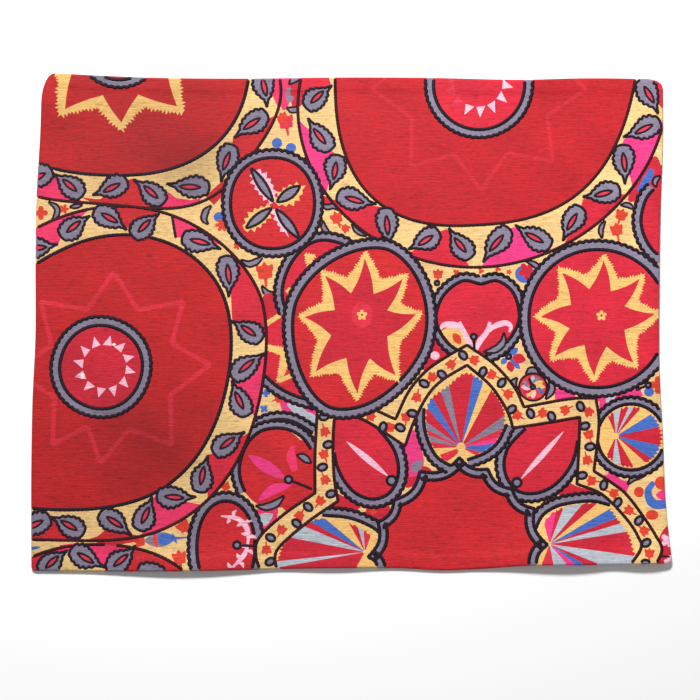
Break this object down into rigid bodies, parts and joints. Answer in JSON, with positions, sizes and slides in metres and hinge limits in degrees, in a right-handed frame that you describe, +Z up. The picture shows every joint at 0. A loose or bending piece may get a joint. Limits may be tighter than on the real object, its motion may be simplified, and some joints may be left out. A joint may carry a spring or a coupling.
{
  "type": "suzani embroidered textile panel",
  "caption": "Rectangular embroidered cloth panel lying flat, red ground with leaf-bordered roundels, star medallions, petal fans and a flowered band; soft uneven edges.",
  "frame": {"origin": "on the table under the middle of the panel, at the centre of its underside", "axes": "+X to the viewer's right along the long edges, +Y away from the viewer towards the back edge, +Z up out of the embroidered face"},
  "size_m": [0.4652, 0.3671, 0.0073],
  "materials": {
    "suzani_cloth": "matte embroidered cotton"
  },
  "bodies": {
    "root": {"suzani_panel": "suzani_cloth"}
  },
  "joints": []
}
